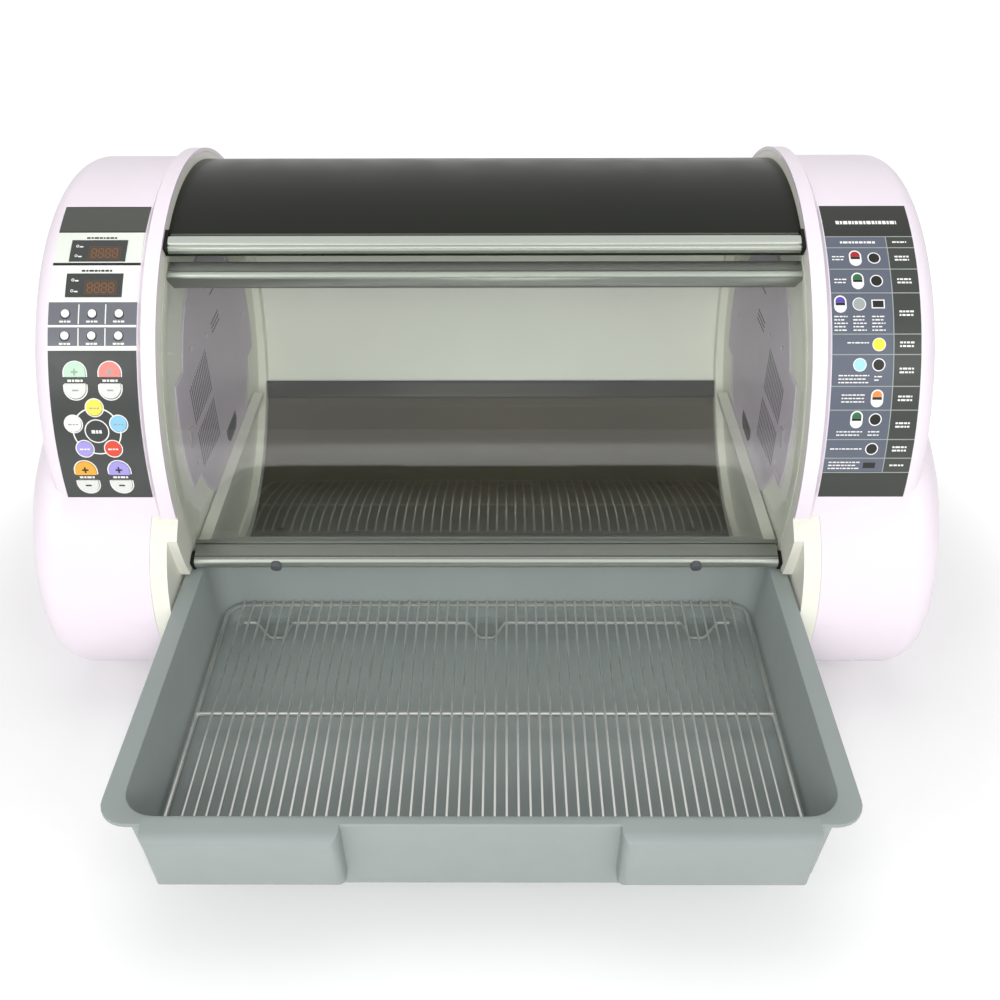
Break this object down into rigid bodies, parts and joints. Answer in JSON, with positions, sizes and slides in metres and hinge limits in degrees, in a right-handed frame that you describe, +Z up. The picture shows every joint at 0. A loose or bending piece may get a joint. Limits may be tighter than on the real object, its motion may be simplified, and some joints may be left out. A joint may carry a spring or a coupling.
{
  "type": "veterinary incubator",
  "caption": "Bench-top veterinary incubator: clear curved lift-up door between two round control pods, black hood, and a pull-out grey tray with a wire rack.",
  "frame": {"origin": "centre of the footprint at bench level, with the tray pulled out as in the picture", "axes": "+X along the drum axis to the viewer's right, +Y towards the back, +Z up"},
  "size_m": [0.952, 0.8585, 0.5224],
  "materials": {
    "lavender_shell": "gloss moulded",
    "cream_plastic": "gloss moulded",
    "lilac_plastic": "moulded",
    "black_acrylic": "gloss",
    "cream_panel": "smooth",
    "bronze_liner": "gloss",
    "grey_rail": "anodised",
    "satin_aluminium": "satin anodised",
    "bright_aluminium": "bright anodised",
    "black_plastic": "moulded",
    "clear_acrylic": "clear",
    "black_rubber": "moulded",
    "grey_plastic": "fine satin",
    "white_plastic": "moulded",
    "steel_wire": "polished stainless steel",
    "printed_overlay": "printed film",
    "smoked_window": "smoked",
    "white_lens": "diffusing",
    "printed_label": "printed film",
    "cast_heater": "cast",
    "circuit_board": "solder resist",
    "zinc_sheet": "zinc plated",
    "tank_plastic": "translucent moulded",
    "light_lens": "diffusing",
    "yellow_key": "embossed film",
    "white_key": "embossed film",
    "blue_key": "embossed film",
    "violet_key": "embossed film",
    "red_key": "embossed film",
    "black_key": "embossed film",
    "green_key": "embossed film",
    "rose_key": "embossed film",
    "orange_key": "embossed film",
    "grey_key": "embossed film"
  },
  "bodies": {
    "cabinet": {"right_housing": "lavender_shell", "left_housing": "lavender_shell", "right_inner_frame": "cream_plastic", "left_inner_frame": "cream_plastic", "right_vent_cover": "lilac_plastic", "left_vent_cover": "lilac_plastic", "top_cover": "black_acrylic", "rear_panel": "cream_panel", "bottom_shell": "bronze_liner", "rear_rail": "grey_rail", "front_sill": "satin_aluminium", "hood_rail": "bright_aluminium", "hood_rail_end_caps": "black_plastic", "header_rail": "satin_aluminium", "tray_runners": "white_plastic", "control_overlay": "printed_overlay", "display_windows": "smoked_window", "indicator_lenses": "white_lens", "instruction_label": "printed_label", "right_fan_frame": "black_plastic", "left_fan_frame": "black_plastic", "heater": "cast_heater", "control_board": "circuit_board", "power_supply": "zinc_sheet", "humidifier_tank": "tank_plastic", "nebuliser": "white_plastic", "light_bar": "light_lens", "air_sensor": "white_plastic", "power_inlet": "black_plastic", "rocker_bezel": "black_plastic", "feet": "black_rubber"},
    "door": {"door_panel": "clear_acrylic", "door_bottom_rail": "satin_aluminium", "door_end_caps": "black_plastic", "door_seal": "black_rubber", "door_bumpers": "black_rubber"},
    "tray": {"tray": "grey_plastic", "wire_rack": "steel_wire"},
    "right_rotor": {"right_fan_rotor": "black_plastic"},
    "left_rotor": {"left_fan_rotor": "black_plastic"},
    "rocker": {"rocker_switch": "black_plastic"},
    "key_yellow": {"key_yellow": "yellow_key"},
    "key_white": {"key_white": "white_key"},
    "key_blue": {"key_blue": "blue_key"},
    "key_violet": {"key_violet": "violet_key"},
    "key_red": {"key_red": "red_key"},
    "key_set": {"key_set": "black_key"},
    "key_green_plus": {"key_green_plus": "green_key"},
    "key_green_minus": {"key_green_minus": "white_key"},
    "key_rose_plus": {"key_rose_plus": "rose_key"},
    "key_rose_minus": {"key_rose_minus": "white_key"},
    "key_orange_plus": {"key_orange_plus": "orange_key"},
    "key_orange_minus": {"key_orange_minus": "grey_key"},
    "key_purple_plus": {"key_purple_plus": "violet_key"},
    "key_purple_minus": {"key_purple_minus": "grey_key"}
  },
  "joints": [
    {"name": "door_hinge", "type": "hinge", "parent": "cabinet", "child": "door", "pos_m": [0, 0.169, 0.262], "axis": [-1, 0, 0], "range_deg": [0, 70]},
    {"name": "tray_slide", "type": "slide", "parent": "cabinet", "child": "tray", "axis": [0, 1, 0], "range_m": [0, 0.33]},
    {"name": "right_fan_spin", "type": "hinge", "parent": "cabinet", "child": "right_rotor", "pos_m": [0.347, 0.103, 0.253], "axis": [1, 0, 0], "continuous": true},
    {"name": "left_fan_spin", "type": "hinge", "parent": "cabinet", "child": "left_rotor", "pos_m": [-0.347, 0.103, 0.253], "axis": [1, 0, 0], "continuous": true},
    {"name": "rocker_tilt", "type": "hinge", "parent": "cabinet", "child": "rocker", "pos_m": [0.41, 0.421, 0.167], "axis": [1, 0, 0], "range_deg": [0, 14]},
    {"name": "key_yellow_press", "type": "slide", "parent": "cabinet", "child": "key_yellow", "axis": [0, 0.9305, -0.3662], "range_m": [0, 0.0005], "stiffness_N_per_m": 900},
    {"name": "key_white_press", "type": "slide", "parent": "cabinet", "child": "key_white", "axis": [0, 0.9524, -0.3048], "range_m": [0, 0.0005], "stiffness_N_per_m": 900},
    {"name": "key_blue_press", "type": "slide", "parent": "cabinet", "child": "key_blue", "axis": [0, 0.9524, -0.3048], "range_m": [0, 0.0005], "stiffness_N_per_m": 900},
    {"name": "key_violet_press", "type": "slide", "parent": "cabinet", "child": "key_violet", "axis": [0, 0.9787, -0.2053], "range_m": [0, 0.0005], "stiffness_N_per_m": 900},
    {"name": "key_red_press", "type": "slide", "parent": "cabinet", "child": "key_red", "axis": [0, 0.9787, -0.2053], "range_m": [0, 0.0005], "stiffness_N_per_m": 900},
    {"name": "key_set_press", "type": "slide", "parent": "cabinet", "child": "key_set", "axis": [0, 0.9611, -0.2763], "range_m": [0, 0.0005], "stiffness_N_per_m": 900},
    {"name": "key_green_plus_press", "type": "slide", "parent": "cabinet", "child": "key_green_plus", "axis": [0, 0.8865, -0.4628], "range_m": [0, 0.0005], "stiffness_N_per_m": 900},
    {"name": "key_green_minus_press", "type": "slide", "parent": "cabinet", "child": "key_green_minus", "axis": [0, 0.8865, -0.4628], "range_m": [0, 0.0005], "stiffness_N_per_m": 900},
    {"name": "key_rose_plus_press", "type": "slide", "parent": "cabinet", "child": "key_rose_plus", "axis": [0, 0.8865, -0.4628], "range_m": [0, 0.0005], "stiffness_N_per_m": 900},
    {"name": "key_rose_minus_press", "type": "slide", "parent": "cabinet", "child": "key_rose_minus", "axis": [0, 0.8865, -0.4628], "range_m": [0, 0.0005], "stiffness_N_per_m": 900},
    {"name": "key_orange_plus_press", "type": "slide", "parent": "cabinet", "child": "key_orange_plus", "axis": [0, 0.9968, -0.0798], "range_m": [0, 0.0005], "stiffness_N_per_m": 900},
    {"name": "key_orange_minus_press", "type": "slide", "parent": "cabinet", "child": "key_orange_minus", "axis": [0, 0.9968, -0.0798], "range_m": [0, 0.0005], "stiffness_N_per_m": 900},
    {"name": "key_purple_plus_press", "type": "slide", "parent": "cabinet", "child": "key_purple_plus", "axis": [0, 0.9968, -0.0798], "range_m": [0, 0.0005], "stiffness_N_per_m": 900},
    {"name": "key_purple_minus_press", "type": "slide", "parent": "cabinet", "child": "key_purple_minus", "axis": [0, 0.9968, -0.0798], "range_m": [0, 0.0005], "stiffness_N_per_m": 900}
  ]
}
